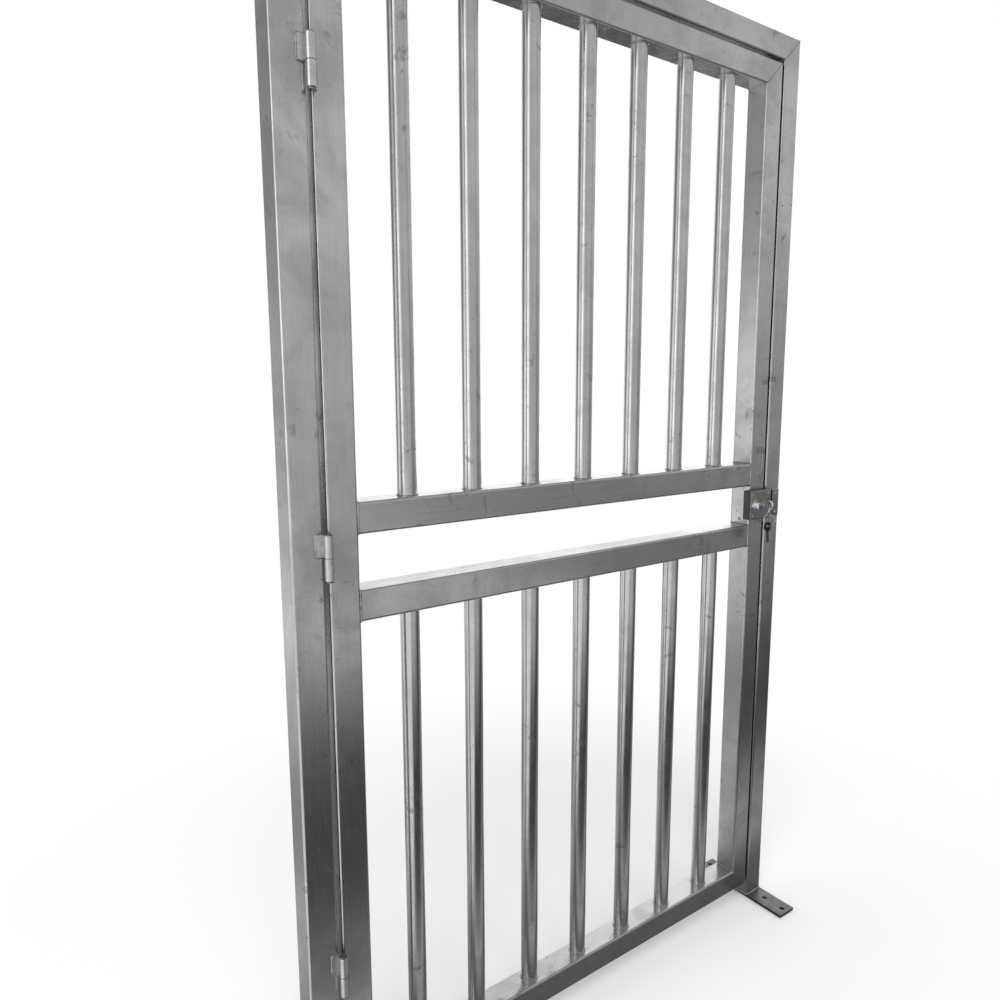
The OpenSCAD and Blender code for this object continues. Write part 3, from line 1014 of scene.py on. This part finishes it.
# Painted reflections on the disc: pale just behind the bars, dark far behind on the lock side, grey far before
reflectionPatches = (
    {"tone": 0.9, "side": 1, "from": 0.1, "to": 0.25, "right": 0.45, "until": 1.15},
    {"tone": 0.05, "side": 1, "from": 1.9, "to": 2.8, "right": 0.3, "until": 9},
    {"tone": 0.24, "side": -1, "from": 1.5, "to": 2.3, "right": 2.4, "until": 9},
)
patchFade = {"right": 0.6, "until": 0.3}


def makeReflectionShadeCard():
    glowCard, tree, glow, place = makeCardMaterial("floorReflectionShade", studio["shadeCardGlow"])
    parts = tree.nodes.new("ShaderNodeSeparateXYZ")
    tree.links.new(place, parts.inputs[0])
    before = addMath(tree, "MULTIPLY", parts.outputs["Y"], -1.0)
    share = addMath(tree, "ADD", addMath(tree, "DIVIDE", before, reflectionShadeSpan), 0.5)
    tone = addRamp(tree, share, [(y / reflectionShadeSpan + 0.5, level) for y, level in reflectionShadeTones])
    across = addMath(tree, "ADD", parts.outputs["X"], gateMiddle.x)
    aside = addMath(tree, "MAXIMUM", addMath(tree, "MULTIPLY", parts.outputs["Y"], reflectionShadeEdge["behind"]),
                    addMath(tree, "MULTIPLY", parts.outputs["Y"], -reflectionShadeEdge["before"]))
    left = addMath(tree, "MULTIPLY", addMath(tree, "ADD", aside, across), -1.0)
    pale = addRange(tree, left, reflectionShadeEdge["from"], reflectionShadeEdge["to"])
    tone = addMix(tree, pale, tone, (reflectionShadeEdge["bright"],) * 3 + (1,))
    for patch in reflectionPatches:
        away = addMath(tree, "MULTIPLY", parts.outputs["Y"], patch["side"])
        far = addMath(tree, "MULTIPLY", addRange(tree, away, patch["from"], patch["to"]),
                      addRange(tree, across, patch["right"], patch["right"] + patchFade["right"]))
        inside = addRange(tree, across, patch["until"], patch["until"] + patchFade["until"], 1.0, 0.0)
        far = addMath(tree, "MULTIPLY", far, inside)
        tone = addMix(tree, far, tone, (patch["tone"],) * 3 + (1,))
    tree.links.new(tone, glow.inputs["Color"])
    startFresh()
    bpy.ops.mesh.primitive_circle_add(vertices=64, radius=studio["radius"], fill_type="NGON")
    shadeCard = bpy.context.object
    shadeCard.name = "floor_reflection_shade"
    shadeCard.location = (gateMiddle.x, 0, -0.001)
    giveMaterial(shadeCard, glowCard)
    hideFromAllButGloss(shadeCard)
    return shadeCard


def makeFloor():
    # Pale floor that fades into the white backdrop away from the gate
    paint = bpy.data.materials.new("paleFloor")
    paint.use_nodes = True
    tree = paint.node_tree
    shader = tree.nodes["Principled BSDF"]
    shader.inputs["Base Color"].default_value = (studio["floorTone"],) * 3 + (1,)
    shader.inputs["Roughness"].default_value = 0.9
    shader.inputs["Specular IOR Level"].default_value = 0.0
    place = tree.nodes.new("ShaderNodeTexCoord").outputs["Object"]
    reach = tree.nodes.new("ShaderNodeVectorMath")
    reach.operation = "LENGTH"
    tree.links.new(place, reach.inputs[0])
    glow = tree.nodes.new("ShaderNodeEmission")
    mix = tree.nodes.new("ShaderNodeMixShader")
    tree.links.new(addRange(tree, reach.outputs["Value"], *studio["floorFade"]), mix.inputs[0])
    tree.links.new(shader.outputs[0], mix.inputs[1])
    tree.links.new(glow.outputs[0], mix.inputs[2])
    tree.links.new(mix.outputs[0], tree.nodes["Material Output"].inputs["Surface"])
    paint.cycles.emission_sampling = "NONE"
    startFresh()
    bpy.ops.mesh.primitive_plane_add(size=40, location=(gateMiddle.x, 0, -0.002))
    floor = bpy.context.object
    floor.name = "floor"
    giveMaterial(floor, paint)
    return floor


def makeWorld():
    world = bpy.data.worlds.new("softWhite")
    bpy.context.scene.world = world
    world.use_nodes = True
    tree = world.node_tree
    light = tree.nodes["Background"]
    light.inputs["Strength"].default_value = studio["worldStrength"]
    plain = tree.nodes.new("ShaderNodeBackground")
    path = tree.nodes.new("ShaderNodeLightPath")
    seen = addMath(tree, "MAXIMUM", path.outputs["Is Camera Ray"],
                   addMath(tree, "MAXIMUM", path.outputs["Is Glossy Ray"], path.outputs["Is Transmission Ray"]))
    light.inputs["Color"].default_value = (1, 1, 1, 1)
    plain.inputs["Color"].default_value = (1, 1, 1, 1)
    mix = tree.nodes.new("ShaderNodeMixShader")
    tree.links.new(seen, mix.inputs[0])
    tree.links.new(light.outputs[0], mix.inputs[1])
    tree.links.new(plain.outputs[0], mix.inputs[2])
    tree.links.new(mix.outputs[0], tree.nodes["World Output"].inputs["Surface"])


def makeSoftbox():
    startFresh()
    bpy.ops.object.light_add(type="AREA", location=studio["softbox"])
    lamp = bpy.context.object
    lamp.name = "softbox"
    lamp.data.shape = "RECTANGLE"
    lamp.data.size, lamp.data.size_y = studio["softboxSize"]
    lamp.data.energy = studio["softboxPower"]
    lamp.rotation_euler = (gateMiddle - Vector(studio["softbox"])).to_track_quat("-Z", "Y").to_euler()
    lamp.visible_glossy = False
    lamp.visible_camera = False


cameraSetup = {"place": (-0.4157, -1.0846, 1.2426), "turn": 35.671, "tip": -8.4, "roll": -0.2,
               "lens": 27.861, "sensor": 36, "near": 0.05}


def makeCamera():
    startFresh()
    bpy.ops.object.camera_add(location=cameraSetup["place"])
    camera = bpy.context.object
    camera.name = "camera"
    aim = Euler((math.radians(90 + cameraSetup["tip"]), 0, math.radians(-cameraSetup["turn"]))).to_matrix()
    camera.rotation_euler = (aim @ Matrix.Rotation(math.radians(cameraSetup["roll"]), 3, "Z")).to_euler()
    camera.data.lens = cameraSetup["lens"]
    camera.data.sensor_width = cameraSetup["sensor"]
    camera.data.clip_start = cameraSetup["near"]
    bpy.context.scene.camera = camera


makeCamera()
makeWorld()
makeSoftbox()
makeFloor()
makeGlowWalls()
makeReflectionShadeCard()
bpy.context.scene.view_settings.view_transform = "Standard"
startFresh()
print("studio: floor, walls, matting, softbox, camera")
